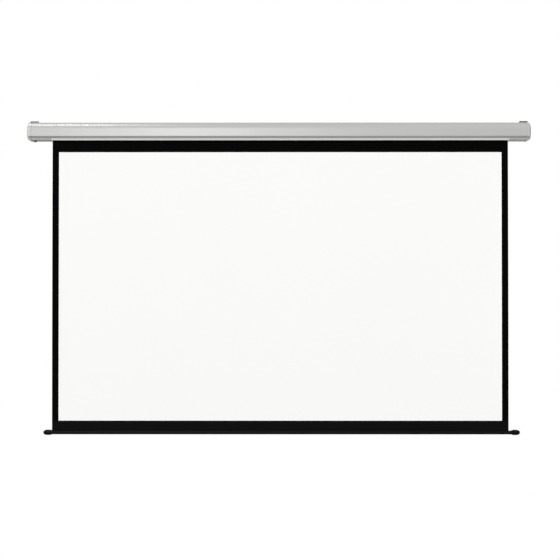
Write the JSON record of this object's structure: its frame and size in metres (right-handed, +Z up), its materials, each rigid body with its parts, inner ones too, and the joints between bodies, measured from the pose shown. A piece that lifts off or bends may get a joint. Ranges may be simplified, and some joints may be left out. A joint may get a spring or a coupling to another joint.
{
  "type": "pull down projector screen",
  "caption": "Manual projector screen: a bordered white sheet pulls down from a spring roller in a long wall case, with a weight bar and pull bail below.",
  "frame": {"origin": "centre of the case's flat back, on the wall", "axes": "+X to the right along the case, +Y into the wall, +Z up; the sheet faces -Y"},
  "size_m": [2.064, 0.0728, 1.2855],
  "materials": {
    "case_paint": "satin powder coat",
    "cap_plastic": "moulded, satin",
    "trim_plastic": "extruded, satin",
    "zinc_steel": "zinc plated",
    "black_steel": "black oxide",
    "turned_steel": "turned",
    "spring_steel": "drawn wire, oiled",
    "tube_steel": "drawn tube",
    "plug_plastic": "moulded",
    "pawl_bronze": "cast",
    "screen_white": "matt white coated fabric",
    "border_black": "matt black print",
    "bar_paint": "black anodised",
    "bar_cap_plastic": "moulded, satin",
    "spline_plastic": "extruded"
  },
  "bodies": {
    "case": {"case_back_channel": "case_paint", "case_front_cover": "case_paint", "slot_trim": "trim_plastic", "left_end_cap": "cap_plastic", "right_end_cap": "cap_plastic", "left_end_plate": "zinc_steel", "right_end_plate": "zinc_steel", "left_hanging_ear": "zinc_steel", "right_hanging_ear": "zinc_steel", "left_cap_screw_lower": "zinc_steel", "left_cap_screw_upper": "zinc_steel", "right_cap_screw_lower": "zinc_steel", "right_cap_screw_upper": "zinc_steel", "left_ear_screw_rear": "zinc_steel", "left_ear_screw_front": "zinc_steel", "right_ear_screw_rear": "zinc_steel", "right_ear_screw_front": "zinc_steel", "foot_screw": "black_steel", "spindle_socket": "zinc_steel", "spring_spindle": "turned_steel", "ratchet_wheel": "turned_steel", "mandrel_rod": "turned_steel", "torsion_spring": "spring_steel", "idle_bush": "plug_plastic", "screen_sheet": "screen_white", "black_drop": "border_black", "left_border": "border_black", "right_border": "border_black"},
    "roller": {"roller_tube": "tube_steel", "retainer_strip": "spline_plastic", "screen_roll": "screen_white", "left_roller_plug": "plug_plastic", "right_roller_plug": "plug_plastic", "idle_pin": "turned_steel", "spring_drive_plug": "plug_plastic", "pawl_pin_upper": "turned_steel", "pawl_pin_lower": "turned_steel"},
    "pawl_upper_body": {"pawl_upper": "pawl_bronze"},
    "pawl_lower_body": {"pawl_lower": "pawl_bronze"},
    "bar": {"sheet_lower_border": "border_black", "weight_bar": "bar_paint", "hem_spline": "spline_plastic", "ballast_rod_front": "turned_steel", "ballast_rod_rear": "turned_steel", "left_bar_cap": "bar_cap_plastic", "right_bar_cap": "bar_cap_plastic", "bail_bracket": "zinc_steel", "bail_rivet_left": "zinc_steel", "bail_rivet_right": "zinc_steel"},
    "bail": {"pull_bail": "zinc_steel"}
  },
  "joints": [
    {"name": "bar_slide", "type": "slide", "parent": "case", "child": "bar", "axis": [0, 0, 1], "range_m": [0, 1.175], "deforming": ["screen_sheet", "black_drop", "left_border", "right_border"]},
    {"name": "roller_turn", "type": "hinge", "parent": "case", "child": "roller", "pos_m": [0, -0.0282, 0], "axis": [-1, 0, 0], "range_deg": [0, 3240]},
    {"name": "pawl_upper_tilt", "type": "hinge", "parent": "roller", "child": "pawl_upper_body", "pos_m": [-0.9918, -0.0367, 0.0132], "axis": [1, 0, 0], "range_deg": [-9, 12]},
    {"name": "pawl_lower_tilt", "type": "hinge", "parent": "roller", "child": "pawl_lower_body", "pos_m": [-0.9918, -0.0197, -0.0132], "axis": [1, 0, 0], "range_deg": [-9, 12]},
    {"name": "bail_swing", "type": "hinge", "parent": "bar", "child": "bail", "pos_m": [0.011, -0.0325, -1.2305], "axis": [-1, 0, 0], "range_deg": [0, 130]}
  ],
  "couplings": [
    {"joint": "roller_turn", "follows": "bar_slide", "rad_per_m": 48.127}
  ]
}
